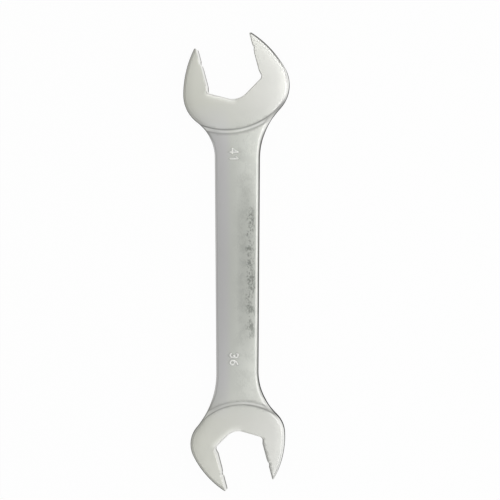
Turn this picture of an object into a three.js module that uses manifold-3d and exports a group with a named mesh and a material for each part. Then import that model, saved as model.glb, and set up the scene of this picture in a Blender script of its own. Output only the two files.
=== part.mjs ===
// Open end wrench for two sizes of hexagon nut, drop forged in one piece from chrome vanadium steel.
// The shank lies along Y, the large head points to +Y, and the faces of the heads are level.
// The forging is built whole and then parted across the two necks, with no gap at the partings.

import * as THREE from 'three';
import { mergeVertices } from 'three/addons/utils/BufferGeometryUtils.js';
import Module from 'manifold-3d';

const wasm = await Module();
wasm.setup();

// Driving dimensions: lengths in millimetres, angles in degrees
const nutSpacing = 292; // along the shank, from nut centre to nut centre
const jawLean = 15; // of each mouth from the shank, both to the same hand
const jawClearance = 0.2; // between a jaw and the flat of its nut
const throatClearance = 0.45; // behind the two rear flats of the nut
const throatCorner = 3; // radius where the throat meets a jaw
const jawRelief = 0.8; // depth of the grooves that clear the nut's corners
const grooveRadius = 3;
const leadIn = 0.25; // each jaw stands back by this much beyond its groove
const padShare = 0.55; // the flat pad of a jaw, of the way from nut centre to nut corner
const tipRadius = 1;
const outerEdge = 2.2; // rounding of a head's outer edges
const mouthEdge = 0.8; // chamfer round a mouth

const shankThickness = 9.5;
const shankCrown = 0.6; // the shank's faces fall this much to their edges
const shankWidthLarge = 34; // beside the large head
const shankWidthSmall = 31.8; // beside the small head
const shankEdge = 2.8; // width of the rounded edges of the shank
const shankSide = 3; // height of the upright side between them
const neckEdge = 1; // width and height of the same edges where a neck enters its head
const rootSlope = 45; // of the step from a head's face down to the neck
const rootEdge = 1; // radius along the top of that slope
const rootFoot = 1.2; // radius along its foot

const largeHead = {
  acrossFlats: 41,
  thickness: 14.5,
  width: 81,
  jawReach: 23.3, // from nut centre to jaw tips
  cheekRadius: 76,
  cheekTurn: 15, // degrees above level where cheek and flank meet
  flankRadius: 26,
  flankSet: 15, // the flanks' centres lie this far behind the nut centre
  backRadius: 55,
  throatRadius: 14,
  sideStep: 4.6, // of the nut centre from the shank's centre line
  innerNeck: 34, // radius of the hollow on the side that the head steps to
  outerNeck: 56,
};

const smallHead = {
  acrossFlats: 36,
  thickness: 13.5,
  width: 72.4,
  jawReach: 22.6,
  cheekRadius: 66.5,
  cheekTurn: 12,
  flankRadius: 20,
  flankSet: 13.3,
  backRadius: 45,
  throatRadius: 13,
  sideStep: 3.7,
  innerNeck: 46,
  outerNeck: 64,
};

// How finely curves are divided, and how far tools reach past what they cut
const chordError = 0.02;
const overrun = 2;
const edgeSteps = 3;
const latheSteps = 144;
const faceSteps = 8;
const sideSteps = 4;
const neckSteps = 12;
const drawIn = 0.1; // the neck is this much narrower inside a head, clear of the head's walls

const steel = { color: 0xc6c6c0, metalness: 0.85, roughness: 0.38 };

// Solids and meshes

function solid(geometry) {
  geometry.deleteAttribute('normal');
  geometry.deleteAttribute('uv');
  const merged = mergeVertices(geometry);
  const vertProperties = merged.attributes.position.array;
  const triVerts = merged.index.array;
  return new wasm.Manifold(new wasm.Mesh({ numProp: 3, vertProperties, triVerts }));
}

function namedMesh(name, shape) {
  const { vertProperties, triVerts } = shape.getMesh();
  const geometry = new THREE.BufferGeometry();
  geometry.setAttribute('position', new THREE.BufferAttribute(vertProperties, 3));
  geometry.setIndex(new THREE.BufferAttribute(triVerts, 1));
  geometry.computeVertexNormals();
  const mesh = new THREE.Mesh(geometry, new THREE.MeshStandardMaterial(steel));
  mesh.name = name;
  return mesh;
}

// An arc as points, from one angle to another in radians, within the chord error
function arc(centre, radius, from, to) {
  const step = 2 * Math.acos(1 - chordError / radius);
  const count = Math.max(2, Math.ceil(Math.abs(to - from) / step));
  return Array.from({ length: count + 1 }, (_, i) => {
    const angle = from + (to - from) * i / count;
    return new THREE.Vector2(centre.x + radius * Math.cos(angle), centre.y + radius * Math.sin(angle));
  });
}

const mirrored = (points) => points.map((p) => new THREE.Vector2(-p.x, p.y)).reverse();

// A plate between two levels, with its rims rounded inwards
function plate(outline, bottom, top, edge) {
  const geometry = new THREE.ExtrudeGeometry(new THREE.Shape(outline), {
    depth: top - bottom - 2 * edge,
    bevelThickness: edge,
    bevelSize: edge,
    bevelOffset: -edge,
    bevelSegments: edgeSteps,
  });
  return solid(geometry.translate(0, 0, bottom + edge));
}

// A straight prism whose upper rim flares out at 45 degrees below the given level
function flaredPrism(outline, bottom, level, flare) {
  const core = new THREE.ExtrudeGeometry(new THREE.Shape(outline), {
    depth: level + overrun - bottom,
    bevelEnabled: false,
  });
  const rim = new THREE.ExtrudeGeometry(new THREE.Shape(outline), {
    depth: overrun,
    bevelThickness: flare,
    bevelSize: flare,
    bevelSegments: 1,
  });
  return solid(core.translate(0, 0, bottom)).add(solid(rim.translate(0, 0, level)));
}

// A head's outline is a chain of tangent arcs: cheek, flank and back, the same on both sides.
// Its frame has the nut centre at the origin and the mouth towards +Y.

function headArcs(head) {
  const flank = new THREE.Vector2(head.width / 2 - head.flankRadius, -head.flankSet);
  const turn = THREE.MathUtils.degToRad(head.cheekTurn);
  const toCheek = head.cheekRadius - head.flankRadius;
  const cheek = new THREE.Vector2(flank.x - toCheek * Math.cos(turn), flank.y - toCheek * Math.sin(turn));
  const backRise = Math.sqrt((head.backRadius - head.flankRadius) ** 2 - flank.x ** 2);
  const back = new THREE.Vector2(0, flank.y + backRise);
  return { flank, cheek, back, turn };
}

// The mouth: a throat that follows the nut's rear flats, then jaws with a flat pad on each nut flat,
// a groove opposite each nut corner, and a lead-in that stands back a little up to the tips
function mouthOutline(head) {
  const flat = head.acrossFlats / 2;
  const jaw = flat + jawClearance;
  const nutCorner = flat * Math.tan(Math.PI / 6);
  const wall = flat + throatClearance;
  const slant = Math.PI / 3;
  const deep = new THREE.Vector2(0, (head.throatRadius - wall) / Math.sin(slant));
  const cornerX = jaw + jawRelief - throatCorner;
  const cornerY = (cornerX * Math.cos(slant) - wall + throatCorner) / Math.sin(slant);
  const corner = new THREE.Vector2(cornerX, cornerY);
  const groove = new THREE.Vector2(jaw + jawRelief - grooveRadius, nutCorner);
  const open = Math.acos((grooveRadius - jawRelief + leadIn) / grooveRadius);
  const tip = new THREE.Vector2(jaw + leadIn + tipRadius, head.jawReach - tipRadius);
  const right = [
    ...arc(deep, head.throatRadius, -Math.PI / 2, -slant),
    ...arc(corner, throatCorner, -slant, 0),
    new THREE.Vector2(jaw, -padShare * nutCorner),
    new THREE.Vector2(jaw, padShare * nutCorner),
    ...arc(groove, grooveRadius, -open, open),
    ...arc(tip, tipRadius, Math.PI, Math.PI / 2),
    new THREE.Vector2(head.width / 2, head.jawReach),
    new THREE.Vector2(head.width / 2, head.jawReach + head.width / 2),
  ];
  return [...right, ...mirrored(right).slice(0, -1)];
}

// One end of the wrench in a frame with the nut's height at y = 0, the shank's centre line at x = 0
// and the shank towards -Y. The head steps to -X and its mouth leans that way too.

function endFrame(head) {
  const lean = THREE.MathUtils.degToRad(jawLean);
  const nutCentre = new THREE.Vector2(-head.sideStep, 0);
  const place = (p) => p.clone().rotateAround(new THREE.Vector2(), lean).add(nutCentre);
  return { lean, nutCentre, place };
}

// The hollow of the neck on one side, tangent to the shank's side and to the head's flank
function neckHollow(head, side, halfWidth) {
  const { flank } = headArcs(head);
  const centre = endFrame(head).place(new THREE.Vector2(side * flank.x, flank.y));
  const radius = side < 0 ? head.innerNeck : head.outerNeck;
  const x = side * (halfWidth + radius);
  const reach = head.flankRadius + radius;
  const y = centre.y - Math.sqrt(reach ** 2 - (x - centre.x) ** 2);
  const touch = Math.atan2(centre.y - y, centre.x - x);
  return { centre: new THREE.Vector2(x, y), radius, touch, top: y + radius * Math.sin(touch) };
}

// Half width of an end on one side at a height within its neck
function neckSide(hollow, side, y) {
  const rise = THREE.MathUtils.clamp(y, hollow.centre.y, hollow.top) - hollow.centre.y;
  return hollow.centre.x - side * Math.sqrt(hollow.radius ** 2 - rise ** 2);
}

// The outline of head and neck together, closed over the mouth
function endOutline(head, halfWidth) {
  const { flank, cheek, turn } = headArcs(head);
  const { lean, place } = endFrame(head);
  const apex = Math.acos(-cheek.x / head.cheekRadius);
  const right = neckHollow(head, 1, halfWidth);
  const left = neckHollow(head, -1, halfWidth);
  const foot = Math.min(left.centre.y, right.centre.y);
  const flip = (p) => new THREE.Vector2(-p.x, p.y);
  return [
    new THREE.Vector2(-halfWidth, foot - overrun),
    new THREE.Vector2(halfWidth, foot - overrun),
    ...arc(right.centre, right.radius, Math.PI, right.touch),
    ...arc(place(flank), head.flankRadius, right.touch - Math.PI, turn + lean).slice(1),
    ...arc(place(cheek), head.cheekRadius, turn + lean, apex + lean).slice(1),
    ...arc(place(flip(cheek)), head.cheekRadius, Math.PI - apex + lean, Math.PI - turn + lean).slice(1),
    ...arc(place(flip(flank)), head.flankRadius, Math.PI - turn + lean, left.touch + Math.PI).slice(1),
    ...arc(left.centre, left.radius, left.touch, 0).slice(1),
  ];
}

// Height of the shank's faces at their edges
const shankShoulder = shankThickness / 2 - shankCrown;

// How far the foot of a head's slope lies beyond the back of the head
function rootReach(head) {
  const slope = THREE.MathUtils.degToRad(rootSlope);
  const drop = head.thickness / 2 - shankShoulder;
  return drop / Math.tan(slope) + rootFoot * Math.tan(slope / 2);
}

// A round boss that carries the head's faces: its rim is the back of the head, and from the rim a
// slope with a rounded top and a hollow foot runs down to the neck
function boss(head) {
  const { back } = headArcs(head);
  const middle = head.thickness / 2;
  const slope = THREE.MathUtils.degToRad(rootSlope);
  const edgeInset = rootEdge * Math.tan(slope / 2);
  const edge = new THREE.Vector2(head.backRadius - edgeInset, middle - rootEdge);
  const foot = new THREE.Vector2(head.backRadius + rootReach(head), shankShoulder + rootFoot);
  const half = [
    ...arc(foot, rootFoot, -Math.PI / 2, -Math.PI / 2 - slope),
    ...arc(edge, rootEdge, Math.PI / 2 - slope, Math.PI / 2),
    new THREE.Vector2(0, middle),
  ];
  const lower = half.map((p) => new THREE.Vector2(p.x, -p.y)).reverse();
  const geometry = new THREE.LatheGeometry([...lower, ...half], latheSteps);
  const centre = endFrame(head).place(back);
  return solid(geometry.rotateX(Math.PI / 2).translate(centre.x, centre.y, 0));
}

// A head with its neck, in the end frame, middle plane at z = 0
function headSolid(head, halfWidth) {
  const middle = head.thickness / 2;
  return plate(endOutline(head, halfWidth), -middle, middle, outerEdge).intersect(boss(head));
}

function mouthCutter(head) {
  const { lean, nutCentre } = endFrame(head);
  const middle = head.thickness / 2;
  const upper = flaredPrism(mouthOutline(head), 0, middle, mouthEdge);
  const whole = upper.add(upper.rotate([0, 180, 0]));
  return whole.rotate([0, 0, THREE.MathUtils.radToDeg(lean)]).translate([nutCentre.x, nutCentre.y, 0]);
}

// The shank and both necks are lofted through sections with crowned faces, rounded edges and
// upright sides

function section({ y, left, right, edge, side }) {
  const half = (right - left) / 2;
  const middle = (right + left) / 2;
  const flatHalf = half - edge;
  const face = Array.from({ length: faceSteps + 1 }, (_, i) => {
    const share = 1 - 2 * i / faceSteps;
    return [middle + flatHalf * share, shankShoulder + shankCrown * (1 - share ** 2)];
  });
  const rounding = Array.from({ length: sideSteps }, (_, i) => {
    const angle = Math.PI / 2 * (1 + (i + 1) / sideSteps);
    const drop = (shankShoulder - side / 2) * (1 - Math.sin(angle));
    return [middle - flatHalf + edge * Math.cos(angle), shankShoulder - drop];
  });
  const lower = rounding.slice(0, -1).map(([x, z]) => [x, -z]).reverse();
  const foot = [middle - half, -side / 2];
  const loop = [...face, ...rounding, foot, ...lower];
  const turned = loop.map(([x, z]) => [2 * middle - x, -z]);
  return [...loop, ...turned].map(([x, z]) => new THREE.Vector3(x, y, z));
}

// Sections of one neck, from inside its head down to the shank
function neckSections(head, halfWidth) {
  const right = neckHollow(head, 1, halfWidth);
  const left = neckHollow(head, -1, halfWidth);
  const { back } = headArcs(head);
  const rootRadius = head.backRadius + rootReach(head);
  const rootCentre = endFrame(head).place(back);
  const top = right.top;
  const bottom = Math.min(left.centre.y, right.centre.y);
  return Array.from({ length: neckSteps + 1 }, (_, i) => {
    const share = i / neckSteps;
    const y = THREE.MathUtils.lerp(top, bottom, share);
    const inside = Math.hypot(neckSide(right, 1, y) - rootCentre.x, y - rootCentre.y) < rootRadius;
    const inset = inside ? drawIn : 0;
    const along = THREE.MathUtils.smoothstep(share, 0, 1);
    return {
      y,
      left: neckSide(left, -1, y) + inset,
      right: neckSide(right, 1, y) - inset,
      edge: THREE.MathUtils.lerp(neckEdge, shankEdge, along),
      side: THREE.MathUtils.lerp(2 * (shankShoulder - neckEdge), shankSide, along),
    };
  });
}

function loft(sections) {
  const points = sections.flat();
  const size = sections[0].length;
  const faces = [];
  for (let ring = 0; ring + 1 < sections.length; ring += 1) {
    for (let i = 0; i < size; i += 1) {
      const a = ring * size + i;
      const b = ring * size + (i + 1) % size;
      faces.push(a, b, a + size, b, b + size, a + size);
    }
  }
  const last = (sections.length - 1) * size;
  for (let i = 1; i + 1 < size; i += 1) {
    faces.push(0, i + 1, i);
    faces.push(last, last + i, last + i + 1);
  }
  const geometry = new THREE.BufferGeometry().setFromPoints(points);
  geometry.setIndex(faces);
  return solid(geometry);
}

function shankSolid() {
  const large = neckSections(largeHead, shankWidthLarge / 2).map(
    (s) => section({ ...s, y: s.y + nutSpacing }),
  );
  const small = neckSections(smallHead, shankWidthSmall / 2).reverse().map(
    (s) => section({ ...s, y: -s.y, left: -s.right, right: -s.left }),
  );
  return loft([...large, ...small]);
}

// The whole forging, with the small nut's height at y = 0 and the middle plane at z = 0
const largeMove = [0, nutSpacing, 0];
const halfTurn = [0, 0, 180];
const blank = shankSolid()
  .add(headSolid(largeHead, shankWidthLarge / 2).translate(largeMove))
  .add(headSolid(smallHead, shankWidthSmall / 2).rotate(halfTurn));
const forging = blank
  .subtract(mouthCutter(largeHead).translate(largeMove))
  .subtract(mouthCutter(smallHead).rotate(halfTurn));

// One block between the partings cuts the shank out and leaves the heads, so their faces are the same
const partings = [
  -neckHollow(smallHead, 1, shankWidthSmall / 2).centre.y,
  nutSpacing + neckHollow(largeHead, 1, shankWidthLarge / 2).centre.y,
];
const reach = largeHead.width;
const between = new THREE.BoxGeometry(reach, partings[1] - partings[0], reach);
const beyond = new THREE.BoxGeometry(2 * reach, 2 * reach, reach);
const shankBlock = solid(between.translate(0, (partings[0] + partings[1]) / 2, 0));
const largeBlock = solid(beyond.translate(0, partings[1] + reach - overrun, 0));
const heads = forging.subtract(shankBlock);

const wrench = new THREE.Group();
wrench.add(
  namedMesh('large_head', heads.intersect(largeBlock)),
  namedMesh('shank', forging.intersect(shankBlock)),
  namedMesh('small_head', heads.subtract(largeBlock)),
);

// The origin is under the middle of the whole wrench, at the level it lies on
const bounds = new THREE.Box3().setFromObject(wrench);
const middle = bounds.getCenter(new THREE.Vector3());
wrench.position.set(-middle.x, -middle.y, -bounds.min.z);

export default wrench;
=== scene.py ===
import cmath
import math
from types import SimpleNamespace

import bpy
import numpy as np
from mathutils import Matrix, Vector
from mathutils.geometry import delaunay_2d_cdt


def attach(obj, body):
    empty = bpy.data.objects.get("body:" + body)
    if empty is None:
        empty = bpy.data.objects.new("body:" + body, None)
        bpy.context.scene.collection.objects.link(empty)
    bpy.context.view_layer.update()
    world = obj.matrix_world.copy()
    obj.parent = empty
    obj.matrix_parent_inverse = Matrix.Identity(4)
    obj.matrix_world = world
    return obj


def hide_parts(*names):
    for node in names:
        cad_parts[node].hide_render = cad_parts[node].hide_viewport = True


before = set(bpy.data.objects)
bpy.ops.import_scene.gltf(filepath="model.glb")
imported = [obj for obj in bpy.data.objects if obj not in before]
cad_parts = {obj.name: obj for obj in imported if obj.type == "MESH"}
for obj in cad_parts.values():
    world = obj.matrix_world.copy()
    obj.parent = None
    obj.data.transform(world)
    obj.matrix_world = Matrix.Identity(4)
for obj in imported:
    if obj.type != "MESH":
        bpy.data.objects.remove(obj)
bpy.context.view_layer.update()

# Forged body: one drop forging of alloy steel, both heads, necks and shank in one piece. The flash
# is trimmed along the middle of its sides, the faces of the heads are ground level, the mouths are
# milled, and the whole is barrel polished and plated with satin chrome.
mm = 0.001
nut_spacing = 292 * mm
jaw_lean = math.radians(15)
jaw_clearance = 0.2 * mm
throat_clearance = 0.45 * mm
throat_corner = 3 * mm
jaw_relief = 0.8 * mm
groove_radius = 3 * mm
lead_in = 0.25 * mm
pad_share = 0.55
point_step = 0.7 * mm
step_slack = 0.01
same_place = 0.01 * mm

large_head = SimpleNamespace(
    origin=1j * nut_spacing, turned=1, across_flats=41 * mm, half_thickness=7.25 * mm,
    width=81 * mm, nose_radius=1 * mm, cheek_radius=76 * mm, cheek_turn=math.radians(15),
    flank_radius=26 * mm, flank_set=15 * mm, back_radius=55 * mm, throat_radius=14 * mm,
    side_step=4.6 * mm, inner_neck=34 * mm, outer_neck=56 * mm, shank_half=17 * mm,
)
small_head = SimpleNamespace(
    origin=0, turned=-1, across_flats=36 * mm, half_thickness=6.75 * mm,
    width=72.4 * mm, nose_radius=0.5 * mm, cheek_radius=66.5 * mm, cheek_turn=math.radians(12),
    flank_radius=20 * mm, flank_set=13.3 * mm, back_radius=45 * mm, throat_radius=13 * mm,
    side_step=3.7 * mm, inner_neck=46 * mm, outer_neck=64 * mm, shank_half=15.9 * mm,
)


# Points in the plan are complex numbers: x across the wrench, y along it towards the large head
def arc(centre, radius, start, end):
    steps = max(5, math.ceil(abs(end - start) * radius / point_step))
    return centre + radius * np.exp(1j * np.linspace(start, end, steps + 1))


def chained(parts):
    """The parts end to end, with straight stretches between them divided too."""
    path = parts[0]
    for part in parts[1:]:
        steps = math.ceil(abs(part[0] - path[-1]) / point_step - step_slack)
        path = np.concatenate([path, np.linspace(path[-1], part[0], steps + 1)[1:], part[1:]])
    return path


def mirrored(points):
    return -np.conj(points)[::-1]


def place(head, points):
    """From the nut's own directions to the shank's, with the nut beside the centre line."""
    return points * cmath.rect(1, jaw_lean) - head.side_step


def set_centres(head):
    """The centres of the tangent arcs round a head, from the nut's centre with the mouth upwards."""
    head.flank = complex(head.width / 2 - head.flank_radius, -head.flank_set)
    head.cheek = head.flank - cmath.rect(head.cheek_radius - head.flank_radius, head.cheek_turn)
    rise = math.sqrt((head.back_radius - head.flank_radius) ** 2 - head.flank.real ** 2)
    head.back = 1j * (head.flank.imag + rise)
    nose_x = head.across_flats / 2 + jaw_clearance + lead_in + head.nose_radius
    nose_rise = (head.cheek_radius - head.nose_radius) ** 2 - (nose_x - head.cheek.real) ** 2
    head.nose = complex(nose_x, head.cheek.imag + math.sqrt(nose_rise))


def neck(head, side):
    """The hollow on one side of a neck, tangent to the shank's side and to the head's flank."""
    flank = place(head, complex(side * head.flank.real, head.flank.imag))
    radius = head.inner_neck if side < 0 else head.outer_neck
    x = side * (head.shank_half + radius)
    y = flank.imag - math.sqrt((head.flank_radius + radius) ** 2 - (x - flank.real) ** 2)
    centre = complex(x, y)
    return centre, radius, cmath.phase(flank - centre)


def mouth_path(head):
    """From the right jaw's tip down to the throat and up to the left tip."""
    flat = head.across_flats / 2
    jaw = flat + jaw_clearance
    nut_corner = flat * math.tan(math.pi / 6)
    slant = math.pi / 3
    wall = flat + throat_clearance
    deep = 1j * (head.throat_radius - wall) / math.sin(slant)
    corner_x = jaw + jaw_relief - throat_corner
    corner_y = (corner_x * math.cos(slant) - wall + throat_corner) / math.sin(slant)
    groove = complex(jaw + jaw_relief - groove_radius, nut_corner)
    spread = math.acos((groove_radius - jaw_relief + lead_in) / groove_radius)
    right = [
        arc(head.nose, head.nose_radius, math.pi / 2, math.pi),
        arc(groove, groove_radius, spread, -spread),
        np.array([jaw + 1j * nut_corner * pad_share]),
        np.array([jaw - 1j * nut_corner * pad_share]),
        arc(complex(corner_x, corner_y), throat_corner, 0, -slant),
        arc(deep, head.throat_radius, -slant, -math.pi / 2),
    ]
    return place(head, chained([*right, *[mirrored(part) for part in reversed(right)]]))


def side_path(head, side):
    """From the shank up to a jaw's tip, on the right side or, mirrored, on the left one."""
    centre, radius, touch = neck(head, side)
    mouth_turn = jaw_lean if side > 0 else -jaw_lean
    if side < 0:
        centre, touch = -centre.conjugate(), math.pi - touch
    nose_turn = cmath.phase(head.nose - head.cheek)
    shift = -head.side_step if side > 0 else head.side_step
    flank, cheek, nose = [
        p * cmath.rect(1, mouth_turn) + shift for p in (head.flank, head.cheek, head.nose)
    ]
    return chained([
        arc(centre, radius, math.pi, touch),
        arc(flank, head.flank_radius, touch - math.pi, head.cheek_turn + mouth_turn),
        arc(cheek, head.cheek_radius, head.cheek_turn + mouth_turn, nose_turn + mouth_turn),
        arc(nose, head.nose_radius, nose_turn + mouth_turn, math.pi / 2 + mouth_turn),
    ])


def set_down(head, path):
    """A path of a head where it lies on the wrench: the small end is turned end for end."""
    return head.origin + head.turned * path


for head in (large_head, small_head):
    set_centres(head)
    head.back_at = set_down(head, place(head, head.back))

large_mouth = set_down(large_head, mouth_path(large_head))
small_mouth = set_down(small_head, mouth_path(small_head))
right_side = chained([
    set_down(small_head, mirrored(side_path(small_head, -1))),
    set_down(large_head, side_path(large_head, 1)),
])
left_side = chained([
    set_down(large_head, mirrored(side_path(large_head, -1))),
    set_down(small_head, side_path(small_head, 1)),
])
loop = np.concatenate([chained([right_side, large_mouth]), chained([left_side, small_mouth])])
loop = loop[np.abs(loop - np.roll(loop, 1)) > same_place]
closed = np.append(loop, loop[0])
rim = len(loop)
batch_size = 400


def batches(points):
    """The numbers of the points, in groups small enough to be compared with a whole path."""
    return np.array_split(np.arange(len(points)), len(points) // batch_size + 1)


def nearest(points, *paths):
    """How far each point lies from the nearest path, and the way the edge there faces."""
    gap, facing = np.full(len(points), np.inf), np.zeros(len(points), complex)
    for path in paths:
        start, along = path[:-1], np.diff(path)
        outward = -1j * along / np.abs(along)
        for some in batches(points):
            offset = points[some, None] - start
            share = np.clip((offset * along.conj()).real / np.abs(along) ** 2, 0, 1)
            away = np.abs(offset - share * along)
            closest = away.argmin(axis=1)
            away = away[np.arange(len(some)), closest]
            closer = away < gap[some]
            gap[some[closer]], facing[some[closer]] = away[closer], outward[closest[closer]]
    return gap, facing


def distance(points, *paths):
    return nearest(points, *paths)[0]


def inside(points):
    """Whether each point lies within the loop, by its crossings with a line to the right."""
    start, end = loop, np.roll(loop, -1)
    kept = []
    for some in batches(points):
        x, y = points[some].real[:, None], points[some].imag[:, None]
        crossing = (start.imag <= y) != (end.imag <= y)
        with np.errstate(divide="ignore", invalid="ignore"):
            share = (y - start.imag) / (end.imag - start.imag)
        at = start.real + share * (end.real - start.real)
        kept.append((crossing & (at > x)).sum(axis=1) % 2 == 1)
    return np.concatenate(kept)


# Each mouth's size stands on the shank beside it in raised numerals, which are read from the right.
# A digit's strokes are given upright in shares of its height, with its foot at zero.
marked_sizes = (("41", 228.4 * mm), ("36", 73.8 * mm))
digit_height = 5.8 * mm
digit_step = 5.4 * mm
digit_middle = 0.3
digits_left = -4.9 * mm
stroke_half = 0.4 * mm
stroke_draft = 0.3 * mm
stroke_rise = 0.4 * mm


def digit_strokes(digit):
    """The lines along the middle of a digit's strokes, for the digits that the two sizes need."""
    size = digit_height
    if digit == "1":
        return [np.array([0.12 + 0.76j, 0.38 + 1j, 0.38]) * size]
    if digit == "3":
        return [
            arc((digit_middle + 0.74j) * size, 0.26 * size, 2.6, -1.5),
            arc((digit_middle + 0.24j) * size, 0.26 * size, 1.5, -2.6),
        ]
    if digit == "4":
        return [np.array([0.62 + 0.27j, 0.02 + 0.27j, 0.45 + 1j, 0.45]) * size]
    return [
        arc((digit_middle + 0.28j) * size, 0.28 * size, 0, 2 * math.pi),
        arc((0.74 + 0.28j) * size, 0.72 * size, math.pi, 1.85),
    ]


strokes = []
for digits, digits_at in marked_sizes:
    for i, digit in enumerate(digits):
        foot_at = digits_at + (0.5 - i) * digit_step + digit_middle * digit_height
        strokes += [complex(digits_left, foot_at) - 1j * stroke for stroke in digit_strokes(digit)]


# Sizes of the upper side: each head's face is level and steps down to the shank over its root, the
# slope that follows a circle about the back of the head, and every edge is rounded over to a wall
root_run = 2.7 * mm
root_edge = 0.4 * mm
root_fillet = 0.22
neck_blend = 16 * mm
face_edge = 2.2 * mm
face_soft = 7 * mm
face_drop = 0.22 * mm
mouth_edge = 0.8 * mm
right_edge_narrowing = 0.45
least_rounding = 0.9 * mm
shank_middle = 4.75 * mm
shank_crown = 0.6 * mm
shank_half = 15.9 * mm
shank_edge = 1.9 * mm
shank_wall = 1.5 * mm


def of_head(points, name):
    """A size of the head that is nearer to each point."""
    at_large = points.imag > nut_spacing / 2
    return np.where(at_large, getattr(large_head, name), getattr(small_head, name))


def beyond_root(points):
    """How far each point lies towards the shank from the top of its head's root."""
    return np.abs(points - of_head(points, "back_at")) - of_head(points, "back_radius")


# Points for the faces of the body: rows within the edges, rings over the roots, close grids under
# the numerals, and an open grid over the rest that keeps clear of the others
row_step = 0.25 * mm
row_slack = 0.02 * mm
rows_beyond = (1.12, 1.3)
ring_count = 22
staggered_row = 0.87
plan_reach = complex(45, 180) * mm
close_step = 0.22 * mm
open_step = 1.8 * mm
clear_of_rows = 0.6 * mm
clear_of_field = 1 * mm


def inset(path, depth):
    """Rows of points inside an edge: over its rounding, closest at the edge, and two just beyond."""
    tangent = np.gradient(path)
    inward = 1j * tangent / np.abs(tangent)
    count = math.ceil(depth / row_step)
    rows = []
    for share in [*(1 - np.cos(math.pi / 2 * np.arange(1, count + 1) / count)), *rows_beyond]:
        step = depth * share
        row = path + inward * step
        rows.append(row[distance(row, closed) > step - row_slack])
    return np.concatenate(rows)


def grid(centre, reach, spacing):
    """Staggered rows of points over a field of the plan."""
    rows = []
    for i, y in enumerate(np.arange(-reach.imag, reach.imag, spacing * staggered_row)):
        x = np.arange(-reach.real, reach.real, spacing) + (i % 2) * spacing / 2
        rows.append(centre + x + 1j * y)
    return np.concatenate(rows)


edges = (
    (right_side, face_edge), (left_side, face_edge),
    (large_mouth, mouth_edge), (small_mouth, mouth_edge),
)
rounding = np.concatenate([inset(path, depth) for path, depth in edges])
rings = []
for head in (large_head, small_head):
    for share in np.linspace(-0.1, 1.1, ring_count):
        radius = head.back_radius - root_edge + share * (root_run + root_edge)
        rings.append(arc(head.back_at, radius, 0, 2 * math.pi)[:-1])
rings = np.concatenate(rings)
fields = [complex(digits_left + digit_height / 2, digits_at) for _, digits_at in marked_sizes]
field_reach = complex(digit_height / 2 + clear_of_field, digit_step + clear_of_field)
under_digits = np.concatenate([grid(field, field_reach, close_step) for field in fields])
middle = complex(loop.real.min() + loop.real.max(), loop.imag.min() + loop.imag.max()) / 2
rest = grid(middle, plan_reach, open_step)
rest_beyond = beyond_root(rest)
rest = rest[(rest_beyond < -3 * root_edge) | (rest_beyond > root_run + 2 * root_edge)]
for field in fields:
    off = rest - field
    room = field_reach + (1 + 1j) * clear_of_field
    rest = rest[(np.abs(off.real) > room.real) | (np.abs(off.imag) > room.imag)]
for path, depth in edges:
    rest = rest[distance(rest, path) > rows_beyond[-1] * depth + clear_of_rows]
free = []
for points in (rings, under_digits, rest):
    points = points[inside(points)]
    free.append(points[distance(points, closed) > row_step])
plan = np.concatenate([loop, rounding, *free])

plan_points = [Vector((point.real, point.imag)) for point in plan]
loop_edges = [(i, (i + 1) % rim) for i in range(rim)]
_, _, plan_faces, plan_numbers, _, _ = delaunay_2d_cdt(plan_points, loop_edges, [], 1, 1e-7)
triangles = np.array([numbers[0] for numbers in plan_numbers])[np.array(plan_faces)]
corners = plan[triangles]
area = ((corners[:, 1] - corners[:, 0]).conj() * (corners[:, 2] - corners[:, 0])).imag
triangles[area < 0] = triangles[area < 0][:, ::-1]


def fade(value, nought, full):
    """Softly from 0 to 1 as a value goes from one limit to the other."""
    share = np.clip((value - nought) / (full - nought), 0, 1)
    return share * share * (3 - 2 * share)


def band(gap, centre, width):
    """A soft line along an edge: 1 at its centre, and nearly 0 two widths to either side."""
    return np.exp(-((gap - centre) / width) ** 2)


def falling(to_edge, reach):
    """From 1 at an edge down to 0 at its reach, and level there."""
    return (1 - np.clip(to_edge / reach, 0, 1)) ** 2


def quarter_round(share):
    """Rises from 0 to 1 as the quarter of a circle does, upright at its start and level at its end."""
    return np.sqrt(1 - (1 - np.clip(share, 0, 1)) ** 2)


def ramp(share):
    """A straight slope from 0 to 1 with a short fillet at its top and at its foot."""
    share, fillet = np.clip(share, 0, 1), root_fillet
    start = share ** 2 / (2 * fillet)
    straight = share - fillet / 2
    end = 1 - fillet - (1 - share) ** 2 / (2 * fillet)
    return np.where(share < fillet, start, np.where(share > 1 - fillet, end, straight)) / (1 - fillet)


def stretch(path, start, end):
    """The part of a path between two shares of its length."""
    return path[round(start * len(path)):round(end * len(path))]


# Where each point of the plan lies, and how much the nearest edge faces to the right or endward.
# The flats of the throats that the nut is pulled against are worn to a soft slope at their edges.
worn_flats = [stretch(large_mouth, 0.52, 0.68), stretch(small_mouth, 0.34, 0.54)]
worn_drop = 0.28 * mm
worn_reach = 4 * mm
at_large = plan.imag > nut_spacing / 2
to_side, side_faces = nearest(plan, right_side, left_side)
to_mouth, mouth_faces = nearest(plan, large_mouth, small_mouth)
to_worn = distance(plan, *worn_flats)
to_stroke = distance(plan, *strokes)
rightward, mouth_rightward = side_faces.real, mouth_faces.real
endward = np.where(at_large, 1, -1) * side_faces.imag
off_mouth = to_mouth > to_side
beyond = beyond_root(plan)
into_neck = fade(beyond, -root_edge, neck_blend - root_edge)
on_head = 1 - into_neck

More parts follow.
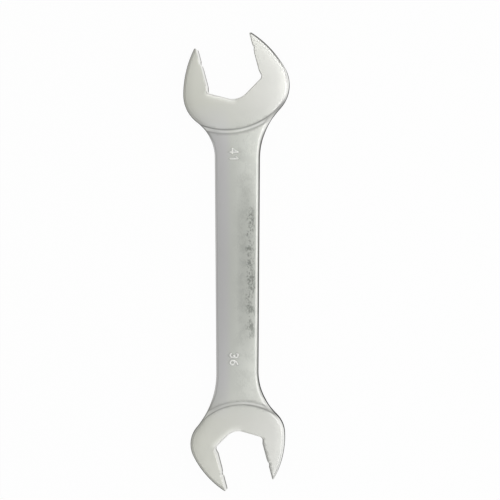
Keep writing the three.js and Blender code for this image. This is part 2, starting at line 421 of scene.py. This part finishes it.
# Height of the upper side over the middle plane, and the share of a numeral's height on top of it
half_thickness = of_head(plan, "half_thickness")
shank_height = shank_middle - shank_crown * falling(to_side, shank_half)
face_height = half_thickness - face_drop * falling(to_side, face_soft)
down_root = ramp((beyond + root_edge) / (root_run + root_edge))
height = face_height + (shank_height - face_height) * down_root
head_wall = half_thickness - face_edge
wall = head_wall + (shank_wall - head_wall) * into_neck
wall = np.minimum(wall, height - least_rounding)
edge = face_edge + (shank_edge - face_edge) * into_neck
edge = edge * (1 - right_edge_narrowing * on_head * fade(rightward, 0.2, 0.6))
height = wall + (height - wall) * quarter_round(to_side / edge)
height = height - mouth_edge * (1 - quarter_round(to_mouth / mouth_edge))
height = height - worn_drop * falling(to_worn, worn_reach)
numeral = fade(to_stroke, stroke_half + stroke_draft, stroke_half)
# The dark ring about each numeral's foot, which the colour takes, is painted shade
digit_foot = band(to_stroke, stroke_half + stroke_draft + 0.15 * mm, 0.28 * mm)

# Roots: painted shade along the top of each slope, at its foot, at its right end and over its left end,
# and a painted highlight on the slope between, most of all towards the right, short of the right end
root_dark = np.where(at_large, 1, 0.55 * (1 + 0.9 * fade(plan.real, 3 * mm, 11 * mm)))
slope_middle = 0.45 * root_run
right_end = fade(plan.real, 19 * mm, 24 * mm)
left_end = fade(plan.real, -10 * mm, -18 * mm)
slope_highlight_strength = (0.3 + 0.7 * fade(plan.real, -6 * mm, 6 * mm)) * (1 - right_end)
root_slope = slope_highlight_strength * band(beyond, slope_middle, 0.55 * mm)
line_above = root_dark * band(beyond, -0.2 * mm, 0.5 * mm)
line_below = root_dark * band(beyond, root_run, 0.7 * mm)
wedge = 0.5 * right_end * band(beyond, slope_middle, 1.8 * mm)
root_line = np.maximum(line_above, wedge) + 0.5 * line_below + 1.6 * root_slope * left_end
on_root = 0.9 * band(beyond, 0, np.where(beyond < 0, 1.2 * mm, 1.8 * mm))

# Parts of the outer sides: the right side of a head, the tips of its jaws, its neck, and the right
# side of the shank
facing_right = fade(rightward, 0.3, 0.7) * off_mouth
small_right = ~at_large & (rightward > 0)
tip_from = np.where(small_right, 0.18, 0.35)
at_tip = fade(endward, tip_from, tip_from + 0.3)
on_right = on_head * facing_right
on_neck = 4 * on_head * (1 - on_head)
right_neck = np.minimum(2 * on_neck, 1) * facing_right * (1 - on_root)
on_shank = (1 - on_head) * facing_right * (1 - on_root)

# Painted shade: dark lines along the edges that face left and round the jaws' tips, broad on the heads
# and faint on the shank, along the mouths' edges that face left, and a thin one at the very edge of
# the shank's right side
line_reach = 2.2 * mm - (1 + np.where(small_right, 0.5, 0.1) * at_tip) * mm * on_head
line_soft = line_reach / 2 * (1 - 0.4 * at_tip * on_head)
jaw_strength = 0.67 + np.where(small_right, -0.45, 0.16) * at_tip
side_strength = 0.17 + jaw_strength * on_head - 0.25 * on_neck
side_line = side_strength * fade(to_side, line_reach, line_reach - line_soft)
side_line = side_line * np.maximum(at_tip * on_head, fade(rightward, 0.35, -0.05))
jaw_reach, jaw_shade_strength = np.where(at_large, 0.9 * mm, 2 * mm), np.where(at_large, 0.3, 0.65)
mouth_line = jaw_shade_strength * fade(to_mouth, jaw_reach, jaw_reach - 0.5 * mm)
mouth_line = mouth_line * fade(mouth_rightward, -0.6, -0.95)
shank_line = 0.5 * on_shank * fade(to_side, 0.8 * mm, 0.35 * mm)
edge_line = np.maximum.reduce([side_line, mouth_line, shank_line])

# Painted highlights: bright lines along the edges that face right, on each head, at its tips, its neck
# and the shank
tip_loss = np.where(small_right, 0.4, 1) * at_tip
tip_width = np.where(at_large, 0.5 * mm, 0.9 * mm)
rim_painted_highlight = np.maximum.reduce([
    on_right * (1 - tip_loss) * fade(to_side, 2.4 * mm, 1.2 * mm) * (1 - on_root),
    on_right * at_tip * band(to_side, 1.6 * mm, tip_width) * (1 - on_root),
    right_neck * band(to_side, 1.7 * mm, 0.7 * mm),
    0.9 * on_shank * band(to_side, 1.5 * mm, 0.5 * mm),
])

# Painted highlights along the milled edges of the mouths, strongest where they face right, and on the
# worn flats, and painted shade on the outer sides, which starts at the rounded edges
mouth_wall_highlight = band(to_mouth, 0, 0.4 * mm) * (0.4 + 0.6 * fade(mouth_rightward, -0.3, 0.3))
worn_slope_highlight = 0.9 * band(to_worn, 0, 1.6 * mm)
mouth_side = np.maximum(mouth_wall_highlight * np.where(at_large, 1, 0.8), worn_slope_highlight)
outer_side = fade(to_side, 0.5 * mm, 0.15 * mm) * off_mouth
outer_side = outer_side * (1 - 0.45 * on_head) * (1 - 0.6 * on_root)
bright_edge = np.maximum(mouth_side, 0.95 * rim_painted_highlight)
shaded_side = outer_side * (1 - rim_painted_highlight)

# Where the painted shade starts on the outer walls, whose level goes from 1 at the upper edge to -1 at
# the lower one, and how dark the painted shade is on the low part of an outer side, of a mouth and of
# a root's end
wall_shade_start = np.where(at_large, 0.25, 0.45) + 0.3 * fade(rightward, 0.92, 0.62)
wall_shade_start = wall_shade_start + 0.7 * fade(endward, 0.05, 0.35) + on_shank - 0.5 * on_root
mouth_rim = distance(loop, large_mouth, small_mouth) < same_place
outer_wall_darkness, mouth_wall_darkness, root_wall_darkness = 0.82, 0.75, 0.4
mouth_shade_depth = 0.85

# The mesh: the upper side, rows of points down the walls, and the upper side again, mirrored, as the
# underside, which has no numerals and no painted highlights along the edges that face right
wall_rows = 8
middle_z = large_head.half_thickness
count = len(plan)
centred = plan - middle
# The marks on the mesh: painted shade along the roots, on the outer sides, in the dark edge lines and
# about the numerals' feet, and painted highlights on the root slopes, the bright edges and the numerals
mask_names = (
    "root_line", "root_slope", "mouth_side", "outer_side", "edge_line", "numeral", "digit_foot",
)
no_numerals = np.zeros((count, 2))
vertices = [np.column_stack([centred.real, centred.imag, middle_z + height + stroke_rise * numeral])]
masks = [np.column_stack([
    root_line, root_slope, bright_edge, shaded_side, edge_line, numeral, digit_foot,
])]
for row in range(1, wall_rows):
    level = 1 - 2 * row / wall_rows
    wall_z = middle_z + height[:rim] * level
    vertices.append(np.column_stack([centred.real[:rim], centred.imag[:rim], wall_z]))
    # Painted shade on the low part of the mouth walls and of the outer walls
    mouth_low = mouth_shade_depth * fade(level, -0.05, -0.45) * mouth_rim
    mouth_low = mouth_low * fade(mouth_rightward[:rim], 0.75, 0.9)
    outer_low = fade(level, wall_shade_start[:rim], wall_shade_start[:rim] - 0.4) * (1 - mouth_rim)
    masks.append(np.column_stack([
        root_wall_darkness * root_line[:rim],
        root_slope[:rim],
        bright_edge[:rim] * (1 - mouth_low - outer_low),
        np.maximum(shaded_side[:rim] + mouth_low * mouth_side[:rim], outer_low),
        outer_wall_darkness * outer_low + mouth_wall_darkness * mouth_low,
        no_numerals[:rim],
    ]))
vertices.append(np.column_stack([centred.real, centred.imag, middle_z - height]))
masks.append(np.column_stack([
    root_line, root_slope, mouth_side, outer_side, edge_line, no_numerals,
]))

ring = np.arange(rim)
rows = [ring, *[ring + count + row * rim for row in range(wall_rows)]]
faces = [triangles]
for upper, lower in zip(rows, rows[1:]):
    after_upper, after_lower = np.roll(upper, -1), np.roll(lower, -1)
    faces.append(np.column_stack([upper, lower, after_lower]))
    faces.append(np.column_stack([upper, after_lower, after_upper]))
faces.append(triangles[:, ::-1] + rows[-1][0])

body_mesh = bpy.data.meshes.new("forged_body")
body_mesh.from_pydata(np.concatenate(vertices).tolist(), [], np.concatenate(faces).tolist())
body_mesh.shade_smooth()
for name, values in zip(mask_names, np.concatenate(masks).T):
    body_mesh.attributes.new(name, "FLOAT", "POINT").data.foreach_set("value", values.astype(np.float32))
forged_body = bpy.data.objects.new("forged_body", body_mesh)
bpy.context.scene.collection.objects.link(forged_body)


class Signal:
    """A socket in a material's node tree: sums on it add Math nodes, and node() adds any other."""

    def __init__(self, tree, socket=None):
        self.tree, self.socket = tree, socket

    def node(self, kind, settings, inputs, output=0):
        """A new node: its settings come first, then the values or links of its sockets."""
        made = self.tree.nodes.new(kind)
        for name, value in settings.items():
            if name == "stops":
                stops = made.color_ramp.elements
                for _ in value[2:]:
                    stops.new(0.5)
                for stop, (position, colour) in zip(stops, value):
                    stop.position, stop.color = position, (*colour, 1)
            else:
                setattr(made, name, value)
        for name, value in inputs.items():
            if isinstance(value, Signal):
                self.tree.links.new(value.socket, made.inputs[name])
            else:
                made.inputs[name].default_value = value
        return Signal(self.tree, made.outputs[output] if made.outputs else None)

    def math(self, operation, other=0):
        return self.node("ShaderNodeMath", {"operation": operation}, {0: self, 1: other})

    def __add__(self, other):
        return self.math("ADD", other)

    def __sub__(self, other):
        return self.math("SUBTRACT", other)

    def __rsub__(self, other):
        return self * -1 + other

    def __mul__(self, other):
        return self.math("MULTIPLY", other)

    __radd__, __rmul__ = __add__, __mul__

    def clamped(self):
        return self.math("MAXIMUM", 0).math("MINIMUM", 1)

    def between(self, nought, full):
        """Evenly from 0 to 1 as the value goes from one limit to the other."""
        return ((self - nought) * (1 / (full - nought))).clamped()

    def noise(self, scale, detail, roughness):
        """Random blotches over the places that this socket gives, so many to a metre."""
        return self.node("ShaderNodeTexNoise", {}, {
            "Vector": self, "Scale": scale, "Detail": detail, "Roughness": roughness,
        })

    def tinted(self, under, over):
        """The first colour, turning to the other as this socket rises to 1."""
        return self.node("ShaderNodeMix", {"data_type": "RGBA"}, {
            "Factor": self, "A": under, "B": over,
        }, "Result")

    def covered(self, under, over):
        """The first surface, covered by the other as this socket rises to 1."""
        return self.node("ShaderNodeMixShader", {}, {0: self, 1: under, 2: over})


satin_chrome = bpy.data.materials.new("satin_chrome")
satin_chrome.use_nodes = True
satin_chrome.node_tree.nodes.clear()
chrome = Signal(satin_chrome.node_tree)
position = chrome.node("ShaderNodeTexCoord", {}, {}, "Object")
beside, along, above = [
    chrome.node("ShaderNodeSeparateXYZ", {}, {0: position}, axis) for axis in ("X", "Y", "Z")
]
upper_side = above.math("GREATER_THAN", 7 * mm)
over_heads = along.math("ABSOLUTE").between(90 * mm, 120 * mm)
over_shank = 1 - over_heads
grain = position.noise(2600, 3, 0.6)
clouds = position.noise(38, 3, 0.55)
patches = position.noise(110, 2, 0.5)
bump = chrome.node("ShaderNodeBump", {}, {"Height": grain, "Strength": 0.12, "Distance": 0.02 * mm})


def mask(name):
    """A mark of the finish that the mesh carries at its points."""
    return chrome.node("ShaderNodeAttribute", {"attribute_name": name}, {}, "Fac")


def shank_patch(length_at, half_length, width_at, half_width):
    """A long soft patch on the upper side of the shank: 1 in its middle, and 0 at its edge."""
    off_length = ((along - length_at) * (1 / half_length)).math("POWER", 4)
    off_width = ((beside - width_at) * (1 / half_width)).math("POWER", 2)
    return (1 - off_length - off_width).math("MAXIMUM", 0) * upper_side


def metal(colour, roughness, glancing_tint):
    """A metal surface with the fine grain of the plating."""
    return chrome.node("ShaderNodeBsdfPrincipled", {}, {
        "Base Color": colour, "Metallic": 1.0, "Roughness": roughness, "Normal": bump,
        "Specular Tint": glancing_tint,
    })


# Colour of the plating: a little warmer on the heads and along the shank's left side, with soft
# clouds, painted shade along the roots and about the numerals' feet, and painted highlights on the
# root slopes and the numerals
shank_tint, left_tint = (0.676, 0.692, 0.643, 1), (0.688, 0.685, 0.68, 1)
head_left_tint, head_right_tint = (0.69, 0.695, 0.628, 1), (0.678, 0.68, 0.645, 1)
# The grey for the roots and the numerals' feet is painted shade, and the whites for the slopes and
# numerals are painted highlights
cloud_grey, painted_shade_grey, stain_grey = (0.4, 0.4, 0.4, 1), (0.24, 0.24, 0.23, 1), (0.2, 0.21, 0.19, 1)
slope_highlight_white, numeral_highlight_white = (0.95, 0.95, 0.93, 1), (0.98, 0.98, 0.95, 1)
head_tint = beside.between(-30 * mm, 30 * mm).tinted(head_left_tint, head_right_tint)
colour = over_heads.tinted(shank_tint, head_tint)
colour = (beside.between(-3 * mm, -8 * mm) * over_shank).tinted(colour, left_tint)
colour = (clouds * 0.12).tinted(colour, cloud_grey)
colour = (mask("root_line") * 0.85 + mask("digit_foot") * 0.3).tinted(colour, painted_shade_grey)
colour = (mask("root_slope") * 0.7).tinted(colour, slope_highlight_white)
colour = (mask("numeral") * 0.85).tinted(colour, numeral_highlight_white)

# Stain: specks in a narrow strip along the shank's right side, a faint even shade about them, and a
# fainter mottling over its right half
slanting = chrome.node("ShaderNodeMapping", {}, {
    "Vector": position, "Rotation": (0, 0, 0.45), "Scale": (1, 0.55, 1),
})
specks = slanting.noise(900, 4, 0.7)
strip = shank_patch(-8 * mm, 60 * mm, 11.3 * mm, 4.6 * mm)
shade = shank_patch(0, 74 * mm, 9 * mm, 8.5 * mm)
speckled = ((strip * 0.2 + specks + patches * 0.6 - 0.9) * strip * 10).clamped()
mottled = ((specks + patches) * 5 - 4.6).clamped() * beside.between(-4 * mm, 4 * mm) * over_shank
colour = (speckled * 0.45 + shade * 0.24 + mottled * 0.14).tinted(colour, stain_grey)

# Surfaces: ground and plated faces, a darker metal painted as shade on the outer sides, a darkest one
# for the dark edge lines, and a pale metal painted as highlight on the mouths' and right-facing edges
ground = metal(colour, 0.32 + clouds * 0.08, (0.6, 0.6, 0.6, 1))
side_shade_metal = metal((0.46, 0.46, 0.44, 1), 0.3, (0, 0, 0, 1))
line_shade_metal = metal((0.2, 0.2, 0.19, 1), 0.4, (0, 0, 0, 1))
highlight_metal = metal((0.91, 0.91, 0.88, 1), 0.45, (1, 1, 1, 1))
surface = mask("outer_side").covered(ground, side_shade_metal)
surface = (mask("edge_line") * 0.95).covered(surface, line_shade_metal)
surface = mask("mouth_side").covered(surface, highlight_metal)
chrome.node("ShaderNodeOutputMaterial", {}, {"Surface": surface})
body_mesh.materials.append(satin_chrome)

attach(forged_body, "root")
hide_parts("large_head", "shank", "small_head")

# Floor: a plain white sheet that the wrench lies on, wide enough to be the whole background.
# The camera and the metal see it mostly as its own light, so that the soft shadow stays pale.
floor_size = 6
own_light = 0.96
bpy.ops.mesh.primitive_plane_add(size=floor_size)
floor = bpy.context.object
floor.name = "floor"
paper = bpy.data.materials.new("white_paper")
paper.use_nodes = True
paper.node_tree.nodes.clear()
sheet = Signal(paper.node_tree)
seen, reflected, through = [
    sheet.node("ShaderNodeLightPath", {}, {}, ray)
    for ray in ("Is Camera Ray", "Is Glossy Ray", "Is Transmission Ray")
]
matt = sheet.node("ShaderNodeBsdfDiffuse", {}, {"Color": (0.9, 0.9, 0.9, 1)})
bright = sheet.node("ShaderNodeEmission", {}, {"Color": (1, 1, 1, 1), "Strength": 1.0})
white = ((seen + reflected + through) * own_light).covered(matt, bright)
sheet.node("ShaderNodeOutputMaterial", {}, {"Surface": white})
floor.data.materials.append(paper)

# Light: an even pale room that is a little dimmer overhead, a strong soft panel on the right, a weak
# one beyond each end, and four small soft lamps over the wrench.
wall_light, overhead_light = (0.72, 0.72, 0.72), (0.45, 0.45, 0.45)
world = bpy.data.worlds.new("room")
bpy.context.scene.world = world
world.use_nodes = True
world.node_tree.nodes.clear()
room_light = Signal(world.node_tree)
direction = room_light.node("ShaderNodeTexCoord", {}, {}, "Generated")
upward = room_light.node("ShaderNodeSeparateXYZ", {}, {0: direction}, "Z")
room_colour = room_light.node("ShaderNodeValToRGB", {
    "stops": [(0.5, wall_light), (0.58, overhead_light)],
}, {"Fac": upward}, "Color")
walls = room_light.node("ShaderNodeBackground", {}, {"Color": room_colour, "Strength": 1.0})
room_light.node("ShaderNodeOutputWorld", {}, {"Surface": walls})

for name, lamp_at, size, power in (
    ("right_panel", (0.8, 0, 0.75), (0.3, 1.6), 2.2),
    ("top_panel", (0, 0.9, 0.25), (0.8, 0.3), 0.15),
    ("bottom_panel", (0, -0.9, 0.25), (0.8, 0.3), 0.45),
    ("inner_top_lamp", (0.1, 0.2, 0.6), (0.12, 0.12), 0.265),
    ("inner_bottom_lamp", (0.1, -0.2, 0.6), (0.12, 0.12), 0.18),
    ("outer_top_lamp", (-0.1, 0.38, 0.8), (0.2, 0.2), 0.27),
    ("outer_bottom_lamp", (-0.1, -0.38, 0.8), (0.2, 0.2), 0.235),
):
    lamp_data = bpy.data.lights.new(name, "AREA")
    lamp_data.shape, lamp_data.size, lamp_data.size_y = "RECTANGLE", *size
    lamp_data.energy = power
    lamp = bpy.data.objects.new(name, lamp_data)
    bpy.context.scene.collection.objects.link(lamp)
    lamp.location = lamp_at
    lamp.rotation_euler = lamp.location.to_track_quat("Z", "Y").to_euler()
    lamp.visible_camera = False

# Camera: over the wrench and a little to its right, at the photograph's angle and size.
turn, tilt = math.radians(7), math.radians(-0.7)
aim = Vector((10.3, 9.5, 7)) * mm
camera_distance = 1.0
frame_pixels, focal_pixels = 500, 1318
back = Vector((math.sin(turn) * math.cos(tilt), -math.sin(tilt), math.cos(turn) * math.cos(tilt)))
right = Vector((math.cos(turn), 0, -math.sin(turn)))
camera_data = bpy.data.cameras.new("camera")
camera_data.sensor_width = 36
camera_data.lens = camera_data.sensor_width * focal_pixels / frame_pixels
camera = bpy.data.objects.new("camera", camera_data)
camera.matrix_world = Matrix.Translation(aim + back * camera_distance) @ Matrix(
    (right, back.cross(right), back)
).transposed().to_4x4()
bpy.context.scene.collection.objects.link(camera)
bpy.context.scene.camera = camera
bpy.context.scene.view_settings.view_transform = "Standard"
